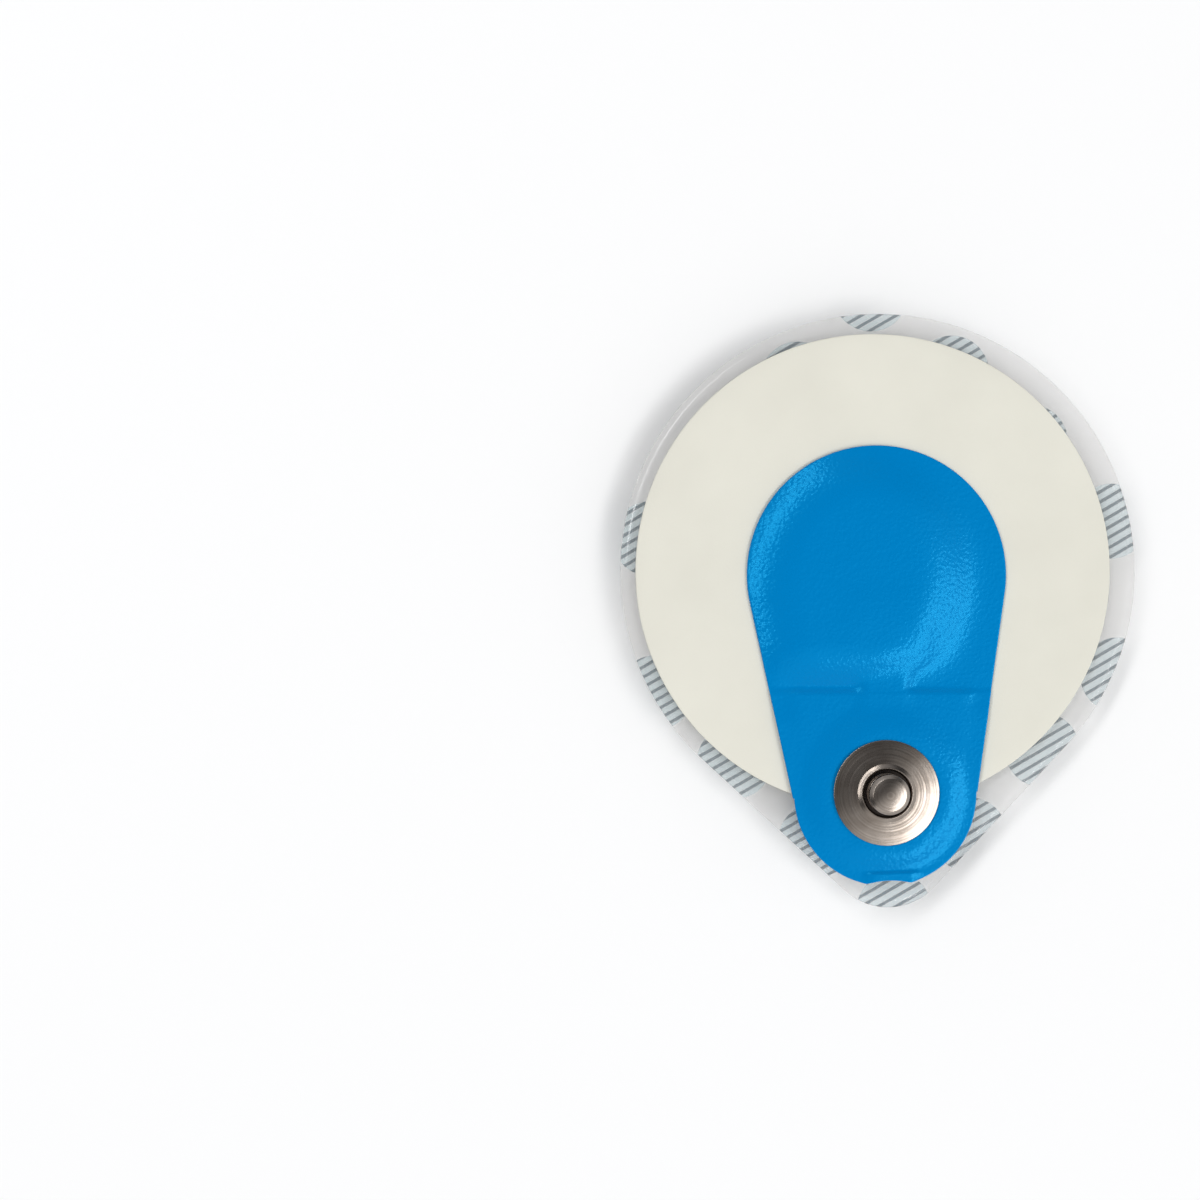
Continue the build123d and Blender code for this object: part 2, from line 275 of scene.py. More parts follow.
def linerSurface():
    # Underside rings from the cup's middle to the edge, then the same rings one film higher, back to the
    # middle. A ring is a point of the cup's profile, a share of the way from the cup to the outline, or an
    # inset from the outline.
    film, depth = liner["film"], liner["depth"]
    mouth = liner["cupBase"] + depth * math.tan(math.radians(liner["cupDraft"]))
    corners = [(0, 0), (liner["cupBase"], 0), (mouth, depth), (liner["cupEnd"], depth)]
    cup, cupUp = roundedLine(corners, [liner["cupBend"] + film, liner["cupBend"]])
    cupTop = cup + cupUp * film
    fine = math.radians(liner["tipDegrees"])
    angle = np.concatenate([
        np.linspace(-np.pi, -fine, 190, endpoint=False),
        np.linspace(-fine, fine, 100, endpoint=False),
        np.linspace(fine, np.pi, 190, endpoint=False),
    ])
    half, beside = liner["rimRun"] / 2, liner["rimBeside"]
    start, end = liner["pimpleShares"]
    shares = np.concatenate([
        np.linspace(0, start, 7)[1:], np.linspace(start, end, 50)[1:], np.linspace(end, 1, 8)[1:]])
    besideRim = linerEdge(angle, liner["rimWidth"] + beside)
    flange = liner["cupEnd"] + shares[:, None] * (besideRim - liner["cupEnd"])
    quarter = np.linspace(0, np.pi / 2, 5)
    rimStart = liner["rimWidth"] - np.array([-half, half, beside])
    edgeInset = np.concatenate([rimStart, liner["edgeRound"] * (1 - np.sin(quarter))])
    edge = np.stack([linerEdge(angle, inset) for inset in edgeInset])
    edgeRise = np.concatenate([[0, 0, 0], liner["edgeRound"] * (1 - np.cos(quarter))])[:, None]
    drops = np.concatenate([[0], np.full(len(edgeInset) - 1, liner["rimDrop"])])[:, None]
    x = np.sin(angle)
    y = -np.cos(angle)
    drop = pimpleDrop(flange * x, flange * y)
    rimLow = np.broadcast_to(depth - drops + edgeRise, edge.shape)
    rimHigh = np.broadcast_to(depth - drops + film - edgeRise, edge.shape)

    def rings(line, level, rimLevel):
        # The cup's profile, the flange and the rim, each carried round by sine and cosine
        wide = (len(line), len(angle))
        radius = np.concatenate([np.broadcast_to(line[:, :1], wide), flange, edge])
        height = np.concatenate([np.broadcast_to(line[:, 1:], wide), level - drop, rimLevel])
        return np.stack([radius * x, radius * y, height], axis=2)

    under = rings(cup, depth, rimLow)
    upper = rings(cupTop, depth + film, rimHigh)
    rowMaterial = np.concatenate([np.zeros(len(under), int), np.ones(len(upper), int)])
    return np.concatenate([under, upper[::-1]]), rowMaterial


printed = {
    "dotRadius": 3.75,
    "latticePitch": 15.4,       # square lattice, with a second one near its middles
    "firstAt": (0.4, -3.1),
    "secondAt": (8.2, 4.1),
    "lineDegrees": 28.1,
    "linePitch": 0.88,
    "lineWidth": 0.34,
    "dotBlur": 0.03,            # how far the ink's edges bleed
    "lineBlur": 0.02,
    "ink": "#3c5966",
    "inkAlpha": 0.85,
    "tint": "#b5d3da",          # the pale ground that the lines of a dot stand on
    "tintAlpha": 0.2,
}


def petFilm(name, hasPrint):
    # Clear PET film, thermoformed: see-through face on, glossy and whiter at a glancing view.
    # The dots are screen-printed lines of slate ink, which hide what is behind them.
    film = {
        "Base Color": linear(liner["colour"]), "Roughness": 0.12, "IOR": 1.5, "Specular IOR Level": 0.7,
        "Coat Weight": 0.35, "Coat Roughness": 0.08,
    }
    material, tree, shader, place = newMaterial(name, film)
    facing = addNode(tree, "ShaderNodeLayerWeight", {"Blend": 0.5}).outputs["Facing"]
    glance = addNode(tree, "ShaderNodeMath", {0: facing, 1: liner["glancePower"]}, operation="POWER")
    clear = addNode(tree, "ShaderNodeMath", {
        0: glance, 1: liner["glanceAlpha"], 2: liner["faceAlpha"]}, operation="MULTIPLY_ADD", use_clamp=True)
    ripple = addNode(tree, "ShaderNodeTexNoise", {
        "Vector": place, "Scale": 1 / liner["ripple"], "Detail": 1.0})
    bump = addNode(tree, "ShaderNodeBump", {"Strength": 0.25, "Distance": 0.08 * mm, "Height": ripple})
    feed(tree, shader, "Normal", bump)
    if not hasPrint:
        feed(tree, shader, "Alpha", clear)
        return material
    flat = addNode(tree, "ShaderNodeVectorMath", {0: place, 1: (1, 1, 0)}, operation="MULTIPLY")
    half = printed["latticePitch"] / 2
    nearest = []
    for centre in (printed["firstAt"], printed["secondAt"]):
        moved = addNode(tree, "ShaderNodeVectorMath", {0: flat, 1: (*centre, 0)}, operation="SUBTRACT")
        cell = addNode(tree, "ShaderNodeVectorMath", {
            0: moved, 1: (half, half, 1), 2: (-half, -half, -1)}, operation="WRAP")
        nearest.append(addNode(tree, "ShaderNodeVectorMath", {0: cell}, operation="LENGTH").outputs["Value"])
    toDot = addNode(tree, "ShaderNodeMath", {0: nearest[0], 1: nearest[1]}, operation="MINIMUM")
    radius, blur = printed["dotRadius"], printed["dotBlur"]
    dot = addNode(tree, "ShaderNodeMapRange", {0: toDot, 1: radius - blur, 2: radius + blur, 3: 1.0, 4: 0.0})
    slope = math.radians(printed["lineDegrees"])
    acrossLines = (-math.sin(slope), math.cos(slope), 0)
    across = addNode(tree, "ShaderNodeVectorMath", {
        0: flat, 1: acrossLines}, operation="DOT_PRODUCT").outputs["Value"]
    halfPitch = printed["linePitch"] / 2
    offLine = addNode(tree, "ShaderNodeMath", {0: across, 1: halfPitch, 2: -halfPitch}, operation="WRAP")
    offLine = addNode(tree, "ShaderNodeMath", {0: offLine}, operation="ABSOLUTE")
    halfWidth, blur = printed["lineWidth"] / 2, printed["lineBlur"]
    line = addNode(tree, "ShaderNodeMapRange", {
        0: offLine, 1: halfWidth - blur, 2: halfWidth + blur, 3: 1.0, 4: 0.0})
    ink = addNode(tree, "ShaderNodeMath", {0: line, 1: dot}, operation="MULTIPLY")
    ground = addNode(tree, "ShaderNodeMix", {
        "Factor": dot, "A": linear(liner["colour"]), "B": linear(printed["tint"])}, data_type="RGBA")
    colour = addNode(tree, "ShaderNodeMix", {
        "Factor": ink, "A": ground, "B": linear(printed["ink"])}, data_type="RGBA")
    feed(tree, shader, "Base Color", colour)
    tinted = addNode(tree, "ShaderNodeMath", {
        0: dot, 1: printed["tintAlpha"], 2: clear}, operation="MULTIPLY_ADD", use_clamp=True)
    solid = addNode(tree, "ShaderNodeMath", {0: ink, 1: printed["inkAlpha"]}, operation="MULTIPLY")
    hiding = addNode(tree, "ShaderNodeMath", {0: tinted, 1: solid}, operation="MAXIMUM")
    feed(tree, shader, "Alpha", hiding)
    return material


linerPoints, linerRows = linerSurface()
linerPiece = makePiece(
    "release_liner_film", linerPoints, False, True,
    [petFilm("PET film, printed side", True), petFilm("PET film, clear side", False)], linerRows,
)
dress(linerPiece, "clear_film", "release_liner")


# Foam disc: die-cut polyethylene foam

foam = {
    "holeRadius": 6.1,
    "edgeRound": 0.12,
    "lift": 0.02,               # keeps its underside off the liner's face
    "colour": "#e2e0d4",
    "shade": "#dcdace",
    "cloud": 7.0,
    "cell": 0.22,
}
foamLow, foamHigh = boxOf("foam_disc")
discRadius = (foamHigh[0] - foamLow[0]) / 2
discShift = (foamHigh[0] + foamLow[0]) / 2
discChord = -foamLow[1]


def foamSurface():
    # A ring-shaped sheet: each row is a share of the way from hole to rim, an offset, and a height.
    # The rim is the circle's radius, or the chord's distance over the cosine where that is nearer.
    cornerAngle = math.acos(discChord / discRadius)
    angle = np.concatenate([
        np.linspace(-cornerAngle, cornerAngle, 60, endpoint=False),
        np.linspace(cornerAngle, 2 * np.pi - cornerAngle, 320, endpoint=False),
    ])
    rim = np.minimum(discRadius, discChord / np.maximum(np.cos(angle), 0.01))
    e, low, high = foam["edgeRound"], foamLow[2] + foam["lift"], foamHigh[2]
    quarter = np.linspace(0, np.pi / 2, 4)
    across, rise = e * np.sin(quarter), e * (1 - np.cos(quarter))
    flatShare = np.linspace(0, 1, 14)
    atEdge = np.ones(2 * len(quarter))
    share = np.concatenate([flatShare, atEdge, flatShare[::-1], 0 * atEdge])
    inset = e * (1 - 2 * flatShare)
    offset = np.concatenate([inset, across - e, across[::-1] - e, inset[::-1], e - across, e - across[::-1]])
    level = np.ones_like(flatShare)
    height = np.concatenate([
        level * high, high - rise, low + rise[::-1], level * low, low + rise, high - rise[::-1]])
    radius = foam["holeRadius"] * (1 - share[:, None]) + rim * share[:, None] + offset[:, None]
    x = discShift + radius * np.sin(angle)
    y = -radius * np.cos(angle)
    return np.stack([x, y, np.broadcast_to(height[:, None], x.shape)], axis=2)


def polyethyleneFoam():
    # Closed-cell PE foam, skived to a sheet: cream, matt, with fine cells and a faint cloudiness
    material, tree, shader, place = newMaterial("Polyethylene foam", {
        "Roughness": 0.85, "Specular IOR Level": 0.25})
    cloud = addNode(tree, "ShaderNodeTexNoise", {"Vector": place, "Scale": 1 / foam["cloud"], "Detail": 3.0})
    fine = addNode(tree, "ShaderNodeTexNoise", {"Vector": place, "Scale": 1 / foam["cell"], "Detail": 2.0})
    cloudy = addNode(tree, "ShaderNodeMapRange", {0: cloud, 1: 0.25, 2: 0.8})
    colour = addNode(tree, "ShaderNodeMix", {
        "Factor": cloudy, "A": linear(foam["colour"]), "B": linear(foam["shade"])}, data_type="RGBA")
    feed(tree, shader, "Base Color", colour)
    bump = addNode(tree, "ShaderNodeBump", {"Strength": 0.35, "Distance": 0.03 * mm, "Height": fine})
    feed(tree, shader, "Normal", bump)
    return material


foamPiece = makePiece("foam_disc_sheet", foamSurface(), True, True, [polyethyleneFoam()])
dress(foamPiece, "cream_foam", "foam_disc")


# Gel sponge: open-cell polyurethane, wet with gel

sponge = {
    "plugRadius": 6.0,
    "edgeRound": 0.45,
    "shoulderRound": 0.1,
    "plugRound": 0.5,
    "shrink": 0.012,            # the pad's edge is this share inside its box, give or take the two waves
    "wave": 0.006,
    "gap": 0.02,                # keeps it off the cup, the foam and the cover
    "web": "#eef2f2",
    "cell": 0.55,
    "bend": (0.8, 0.5),         # the cells' walls wander over this length, by this much
    "webWidth": (0.02, 0.16),
    "webAlpha": 0.75,
    "windowAlpha": 0.16,
}
spongeLow, spongeHigh = boxOf("gel_sponge")
padRadius = (spongeHigh[0] - spongeLow[0]) / 2


def spongeSurface():
    # A turned profile, pad below and plug above, whose pad edge swells in and out by a slow wave
    gap = sponge["gap"]
    low, high, shoulder = spongeLow[2] + gap / 2, spongeHigh[2] - gap, foamLow[2] - gap
    plug = sponge["plugRadius"]
    corners = [(0, low), (padRadius, low), (padRadius, shoulder), (plug, shoulder), (plug, high), (0, high)]
    edgeRound = sponge["edgeRound"]
    line, _ = roundedLine(corners, [edgeRound, edgeRound, sponge["shoulderRound"], sponge["plugRound"]])
    points = turned(line, (discShift, 0), 128)
    angle = np.arctan2(points[..., 1], points[..., 0] - discShift)
    onPad = smoothStep(plug + 0.3, padRadius, line[:, 0])[:, None]
    waves = sponge["wave"] * (np.sin(3 * angle + 0.7) + np.sin(7 * angle))
    swell = 1 - onPad * (sponge["shrink"] + waves)
    points[..., 0] = discShift + (points[..., 0] - discShift) * swell
    points[..., 1] *= swell
    return points


def wetSponge():
    # Open-cell PU foam full of clear gel: whitish webs, and windows between them that show what lies behind
    material, tree, shader, place = newMaterial("Polyurethane sponge with gel", {
        "Base Color": linear(sponge["web"]), "Roughness": 0.25, "IOR": 1.4})
    length, reach = sponge["bend"]
    bend = addNode(tree, "ShaderNodeTexNoise", {"Vector": place, "Scale": 1 / length, "Detail": 2.0})
    bent = addNode(tree, "ShaderNodeVectorMath", {
        0: bend.outputs["Color"], 1: (reach, reach, reach), 2: place}, operation="MULTIPLY_ADD")
    cells = addNode(tree, "ShaderNodeTexVoronoi", {
        "Vector": bent, "Scale": 1 / sponge["cell"]}, feature="DISTANCE_TO_EDGE")
    start, end = sponge["webWidth"]
    web = addNode(tree, "ShaderNodeMapRange", {
        0: cells, 1: start, 2: end, 3: sponge["webAlpha"], 4: sponge["windowAlpha"]})
    feed(tree, shader, "Alpha", web)
    bump = addNode(tree, "ShaderNodeBump", {"Strength": 0.5, "Distance": 0.1 * mm, "Height": web})
    feed(tree, shader, "Normal", bump)
    return material


spongePiece = makePiece("gel_sponge_pad", spongeSurface(), False, True, [wetSponge()])
dress(spongePiece, "gel_sponge", "gel_sponge")


# Top cover: embossed vinyl film over dome, lead strip and snap

cover = {
    "film": 0.35,
    "roundY": -0.4,
    "tabY": -22.2,
    "tabRadius": 9.0,
    "edgeRound": 0.12,
    "domeX": -5.0,              # the dome stands left of the cover's own middle, and the outline ends it
    "domeFlat": 8.0,            # level to this radius, and down at the foot
    "domeFoot": 17.2,
    "domeEdge": 5.4,            # inside the outline it comes down over this width, steepest at the outline,
    "domeEnd": 4.4,             # and over this width before the lining's edge
    "stepY": -11.4,
    "stepRun": 1.0,
    "stepTilt": 2.0,            # degrees that the lining's edge is askew
    "stripX": 0.35,
    "stripHalf": 1.35,
    "stripRun": 2.1,            # slope beside the strip at the lining's edge, where the step line breaks off,
    "ridgeRun": 4.5,            # and on the tab and the dome
    "runMiddle": -0.4,          # from the lining's edge to where the slope is steepest
    "runSpread": (0.8, 3.5),    # and from there to where it starts and ends to widen
    "stripRise": 0.12,
    "stripDrop": 0.9,           # how much higher the strip holds the cover where it leaves the dome
    "dropEnd": -0.6,            # from the lining's edge to where that is gone
    "stripBlend": 0.3,          # how gently the ridge leaves the dome's slope
    "ridgeStart": -4.0,         # the ridge comes up from the middle to here, and goes down by the lip
    "ridgeEnd": (-0.3, 3.0),
    "plateauRadius": 5.4,
    "plateauRun": 3.7,
    "plateauStart": -2.0,       # from the lining's edge to where the snap's flat may be at its full height
    "sagInset": (0.6, 3.2),     # past the lining's side the cover sags between these insets
    "edgeSag": 0.06,
    "cornerSag": 0.13,          # and by this much more at the lining's edge, where the step line fades out
    "cornerSpread": (-4.0, -0.8),
    "lipY": -29.6,              # step up to the pressed lip at the tab's end
    "lipX": 0.35,
    "lipSides": (1.4, 3.5),     # level to here beside its middle, and down here
    "lipRise": 0.28,
    "lipRun": 0.45,
    "nickWidth": 6.0,
    "nickDepth": 0.55,
    "lowerGap": 0.03,           # keeps the film's underside off what it lies on
    "stepRows": (0.7, -1.6),    # rows are closer between these distances from the lining's edge,
    "endPower": 1.4,            # and towards the round end's top and the tab's end
    "colour": "#007dc1",
    "shine": "#38d0ff",
    "grain": 0.32,              # width of a grain of the leather pattern, and its depth
    "grainDepth": 0.038,
    "grainBend": (0.6, 0.35),   # grains wander over this length, by this much
    "slack": 2.5,               # soft unevenness of the film, and its depth
    "slackDepth": 0.06,
}
coverLow, coverHigh = boxOf("top_cover")
snapLow, snapHigh = boxOf("snap_stud")
snapCentre = (snapLow + snapHigh) / 2
snapY = snapCentre[1]
coverX = (coverLow[0] + coverHigh[0]) / 2
roundRadius = (coverHigh[0] - coverLow[0]) / 2
nickRadius = (cover["nickWidth"] ** 2 / 4 + cover["nickDepth"] ** 2) / (2 * cover["nickDepth"])
nickY = cover["tabY"] - cover["tabRadius"] + cover["nickDepth"] - nickRadius
sheetTop = foamHigh[2] + cover["film"]
liningRise = boxOf("tab_lining")[1][2] - foamHigh[2]
domeRise = coverHigh[2] - sheetTop
plateauRise = snapLow[2] - sheetTop


def coverHeight(x, y, inset):
    # The sheet, the step onto the lining, the dome, the strip's ridge, the snap's flat and the lip at the
    # tab's end, blended where they meet. Each form is level, then falls by softStep, and the dome also by a
    # parabola, 1 - (1 - t)^2, towards the outline and the lining. x is from the cover's own middle.
    c = cover
    stepY, lipY, lipTo, ridgeStart = c["stepY"], c["lipY"], c["lipSides"], c["ridgeStart"]
    cornerStart, cornerEnd = c["cornerSpread"]
    sag = c["edgeSag"] + c["cornerSag"] * softStep(stepY + cornerStart, stepY + cornerEnd, y)
    onLining = 1 - sag / liningRise * (1 - softStep(*c["sagInset"], inset))
    fromStep = y + x * math.tan(math.radians(c["stepTilt"])) - stepY
    step = liningRise * (1 - softStep(-c["stepRun"], 0, fromStep)) * onLining
    fromDome = np.hypot(x - c["domeX"], y - c["roundY"])
    dome = domeRise * (1 - softStep(c["domeFlat"], c["domeFoot"], fromDome))
    toEdge = np.clip(1 - inset / c["domeEdge"], 0, 1)
    toStep = np.clip(1 - fromStep / c["domeEnd"], 0, 1)
    dome = dome * (1 - toEdge ** 2) * (1 - toStep ** 2)
    fromSnap = np.hypot(x, y - snapY)
    slope = softStep(c["plateauRadius"], c["plateauRadius"] + c["plateauRun"], fromSnap)
    plateau = (plateauRise - liningRise) * (1 - slope) * softStep(stepY, stepY + c["plateauStart"], y)
    widening = softStep(*c["runSpread"], np.abs(y - stepY - c["runMiddle"]))
    run = c["stripRun"] + (c["ridgeRun"] - c["stripRun"]) * widening
    ridge = 1 - softStep(0, 1, (np.abs(x - c["stripX"]) - c["stripHalf"]) / run)
    endLow, endHigh = c["ridgeEnd"]
    ridge = ridge * softStep(0, ridgeStart, y) * softStep(lipY + endLow, lipY + endHigh, y)
    ridgeTop = liningRise + c["stripRise"] + c["stripDrop"] * softStep(stepY + c["dropEnd"], ridgeStart, y)
    lip = c["lipRise"] * (1 - softStep(lipY - c["lipRun"], lipY, y))
    lip = lip * (1 - softStep(*lipTo, np.abs(x - c["lipX"])))
    height = np.maximum(step, 0) + dome * (1 - step / liningRise)
    height = height + ridge * smoothMax(ridgeTop - height, 0, c["stripBlend"])
    return sheetTop + height + plateau + lip


def coverSurface():
    # Columns share the width evenly. Rows run straight across from the round end's middle to the snap's,
    # and beyond those two lines each column runs on to the outline's arc.
    reach = cover["roundY"] - cover["tabY"]
    lean = (roundRadius - cover["tabRadius"]) / reach
    rise = math.sqrt(1 - lean * lean)

    def halfWidth(y):
        along = cover["roundY"] - y
        bigArc = np.sqrt(np.maximum(roundRadius ** 2 - along ** 2, 0))
        tangent = (roundRadius - along * lean) / rise
        smallArc = np.sqrt(np.maximum(cover["tabRadius"] ** 2 - (along - reach) ** 2, 0))
        bigEnd, smallStart = roundRadius * lean, reach + cover["tabRadius"] * lean
        return np.where(along < bigEnd, bigArc, np.where(along < smallStart, tangent, smallArc))

    edge = 1 - np.array([0, 0.0015, 0.004, 0.008, 0.014, 0.022])
    u = np.concatenate([-edge, np.linspace(-0.965, 0.965, 130), edge[::-1]])
    start, end = cover["stepRows"]
    stepRows = np.linspace(cover["stepY"] + start, cover["stepY"] + end, 34)
    middle = np.concatenate([
        np.linspace(cover["roundY"], stepRows[0], 68, endpoint=False), stepRows,
        np.linspace(stepRows[-1], cover["tabY"], 58)[1:],
    ])
    toEnd = 1 - (1 - np.linspace(0, 1, 70)[1:]) ** cover["endPower"]
    bigX = u * halfWidth(cover["roundY"])
    bigEndY = cover["roundY"] + np.sqrt(np.maximum(roundRadius ** 2 - bigX ** 2, 0))
    smallX = u * halfWidth(cover["tabY"])
    smallEndY = cover["tabY"] - np.sqrt(np.maximum(cover["tabRadius"] ** 2 - smallX ** 2, 0))
    smallEndY = np.maximum(smallEndY, nickY + np.sqrt(np.maximum(nickRadius ** 2 - smallX ** 2, 0)))
    topY = cover["roundY"] + toEnd[::-1, None] * (bigEndY - cover["roundY"])
    lowY = cover["tabY"] + toEnd[:, None] * (smallEndY - cover["tabY"])
    x = np.concatenate([
        np.broadcast_to(bigX, topY.shape), u * halfWidth(middle)[:, None],
        np.broadcast_to(smallX, lowY.shape),
    ])
    y = np.concatenate([topY, np.broadcast_to(middle[:, None], (len(middle), len(u))), lowY])
    inset = capsuleDistance(x, y, roundRadius, cover["roundY"], cover["tabRadius"], cover["tabY"])
    inset = np.minimum(inset, np.hypot(x, y - nickY) - nickRadius)
    top = coverHeight(x, y, inset)
    edgeRound = cover["edgeRound"]
    inset = np.clip(inset, 0, edgeRound)
    rounding = edgeRound - np.sqrt(edgeRound ** 2 - (edgeRound - inset) ** 2)
    upper = np.stack([x + coverX, y, top - rounding], axis=2)
    lower = np.stack([x + coverX, y, top - cover["film"] + cover["lowerGap"]], axis=2)
    return upper, lower


def closedSheet(upper, lower):
    # One closed skin: every row goes out on top and comes back below, and the end rows fold onto the lower
    # edge
    upper = np.concatenate([lower[:1], upper, lower[-1:]])
    lower = np.concatenate([lower[:1], lower, lower[-1:]])
    return np.concatenate([upper, lower[:, ::-1]], axis=1)


def embossedVinyl():
    # Plasticised PVC film, calendered with a fine leather grain: satin, with a sparkle on each grain, and
    # highlights that stay blue
    material, tree, shader, place = newMaterial("Embossed PVC film", {
        "Base Color": linear(cover["colour"]), "Roughness": 0.2, "IOR": 1.5, "Specular IOR Level": 0.5,
        "Specular Tint": linear(cover["shine"])})
    length, reach = cover["grainBend"]
    bend = addNode(tree, "ShaderNodeTexNoise", {"Vector": place, "Scale": 1 / length, "Detail": 2.0})
    bent = addNode(tree, "ShaderNodeVectorMath", {
        0: bend.outputs["Color"], 1: (reach, reach, reach), 2: place}, operation="MULTIPLY_ADD")
    grain = addNode(tree, "ShaderNodeTexVoronoi", {
        "Vector": bent, "Scale": 1 / cover["grain"]}, feature="SMOOTH_F1")
    slack = addNode(tree, "ShaderNodeTexNoise", {"Vector": place, "Scale": 1 / cover["slack"], "Detail": 2.0})
    coarse = addNode(tree, "ShaderNodeBump", {
        "Strength": 0.4, "Distance": cover["slackDepth"] * mm, "Height": slack})
    bump = addNode(tree, "ShaderNodeBump", {
        "Strength": 0.8, "Distance": cover["grainDepth"] * mm, "Height": grain, "Normal": coarse,
    }, invert=True)
    feed(tree, shader, "Normal", bump)
    return material


coverPiece = makePiece("top_cover_film", closedSheet(*coverSurface()), False, True, [embossedVinyl()])
dress(coverPiece, "blue_film", "top_cover")


# Snap stud: stamped brass, nickel plated

stud = {
    "flange": (snapHigh[0] - snapLow[0]) / 2,
    "edge": 0.33,               # height at the flange's rim, and where its cone meets the ring
    "cone": 0.59,
    "land": 4.6,                # the flat ring that it stands on
    "ring": 2.52,
    "ringFoot": 2.9,
    "ringTop": 0.82,
    "groove": 2.3,
    "grooveTop": 0.45,
    "grooveSlope": 0.12,
    "neck": 1.68,
    "neckTop": 1.35,
    "head": 1.97,
    "bandStart": 1.62,          # the head's widest band, which the lead's socket grips
    "bandEnd": 2.1,
    "top": 2.55,
    "crown": 1.62,
    "crownDrop": 0.2,
    "sheet": 0.32,
    "bright": "#a89f97",
    "dull": "#867c73",
    "stain": 1.8,
    "paintedGrooveShade": "#3a3532",       # painted shade in the groove, within half of its width from its middle
    "grooveShadeMiddle": 2.17,
    "grooveShadeHalf": 0.21,
    "ringPitch": 0.2,
    "streakPitch": 0.5,
    "ringStart": (2.7, 3.1),    # the turned rings fade in between these radii
}


def studSurface():
    # A turned profile of (radius, height over the cover): crown, head, neck, ring, cone, and back inside
    # the sheet. The crown falls by the square of the radius.
    s = stud
    radius = np.linspace(0, s["crown"], 16)
    crown = np.stack([radius, s["top"] - s["crownDrop"] * (radius / s["crown"]) ** 2], axis=1)
    outside = [
        crown[-2], crown[-1], (s["head"], s["bandEnd"]), (s["head"], s["bandStart"]),
        (s["neck"], s["neckTop"]), (s["neck"], s["grooveTop"]), (s["groove"], s["grooveTop"]),
        (s["groove"] + s["grooveSlope"], s["ringTop"]), (s["ring"], s["ringTop"]),
        (s["ringFoot"], s["cone"]), (s["flange"], s["edge"]), (s["flange"], 0), (s["land"], 0),
    ]
    outsideRadii = [0.1, 0.08, 0.12, 0.25, 0.1, 0.06, 0.06, 0.1, 0.06, 0.05, 0.04]
    neck, head = s["neck"] - s["sheet"], s["head"] - s["sheet"]
    floor, ceiling = s["grooveTop"] - s["sheet"], s["top"] - s["sheet"]
    inside = [
        (s["land"], 0), (s["ring"], floor), (neck, floor), (neck, s["neckTop"]), (head, s["bandStart"]),
        (head, ceiling), (0, ceiling),
    ]
    outer, _ = roundedLine(outside, outsideRadii)
    outer = np.concatenate([crown[:-2], outer])
    inner, _ = roundedLine(inside, [0.02] * (len(inside) - 2), 3)
    line = np.concatenate([outer, inner[1:]])
    line[:, 1] += snapLow[2]
    return turned(line, snapCentre[:2], 192)


def nickelPlate():
    # Nickel plate on stamped brass: warm grey and mirror-like, brushed into fine rings that draw highlights
    # out round the axis, with shade painted dark into the groove. The real rings are a few hundredths of a
    # millimetre apart, drawn coarser so that they show.
    material, tree, shader, place = newMaterial("Nickel-plated brass", {"Metallic": 1.0, "Roughness": 0.27})
    fromAxis = addNode(tree, "ShaderNodeVectorMath", {
        0: place, 1: (snapCentre[0], snapY, 0)}, operation="SUBTRACT")
    flat = addNode(tree, "ShaderNodeVectorMath", {0: fromAxis, 1: (1, 1, 0)}, operation="MULTIPLY")
    radius = addNode(tree, "ShaderNodeVectorMath", {0: flat}, operation="LENGTH").outputs["Value"]
    ringPlace = addNode(tree, "ShaderNodeCombineXYZ", {"X": radius})
    rings = addNode(tree, "ShaderNodeTexNoise", {
        "Vector": ringPlace, "Scale": 1 / stud["ringPitch"], "Detail": 1.0})
    streaks = addNode(tree, "ShaderNodeTexNoise", {
        "Vector": ringPlace, "Scale": 1 / stud["streakPitch"], "Detail": 1.0})
    start, end = stud["ringStart"]
    onFlange = addNode(tree, "ShaderNodeMapRange", {0: radius, 1: start, 2: end})
    streaks = addNode(tree, "ShaderNodeMath", {0: streaks, 1: onFlange}, operation="MULTIPLY")
    stain = addNode(tree, "ShaderNodeTexNoise", {"Vector": place, "Scale": 1 / stud["stain"], "Detail": 3.0})
    both = addNode(tree, "ShaderNodeMath", {0: rings, 1: stain}, operation="ADD")
    share = addNode(tree, "ShaderNodeMapRange", {0: both, 1: 0.7, 2: 1.3})
    colour = addNode(tree, "ShaderNodeMix", {
        "Factor": share, "A": linear(stud["dull"]), "B": linear(stud["bright"])}, data_type="RGBA")
    # Painted shade: a band round the groove is coloured dark, standing in for the shadow in it
    grooveShadeMask = addNode(tree, "ShaderNodeMath", {
        0: radius, 1: stud["grooveShadeMiddle"], 2: stud["grooveShadeHalf"]}, operation="COMPARE")
    colour = addNode(tree, "ShaderNodeMix", {
        "Factor": grooveShadeMask, "A": colour, "B": linear(stud["paintedGrooveShade"])}, data_type="RGBA")
    feed(tree, shader, "Base Color", colour)
    wave = addNode(tree, "ShaderNodeBump", {"Strength": 0.7, "Distance": 0.04 * mm, "Height": streaks})
    fine = addNode(tree, "ShaderNodeMath", {0: rings, 1: onFlange}, operation="MULTIPLY")
    bump = addNode(tree, "ShaderNodeBump", {
        "Strength": 0.5, "Distance": 0.008 * mm, "Height": fine, "Normal": wave})
    feed(tree, shader, "Normal", bump)
    return material


nickel = nickelPlate()
studPiece = makePiece("snap_stud_cap", studSurface(), False, True, [nickel])
dress(studPiece, "snap_metal", "snap_stud")


# Pieces whose CAD form is kept: sensor, lead strip, lining and eyelet

hidden = {
    "sensor": "#a8767c",
    "sensorDark": "#7d5057",
    "sensorGrain": 0.35,
    "strip": "#d9d6cf",
    "lining": "#e3e1d6",
    "drag": (0.3, 3.0),         # the films' marks, across and along
}


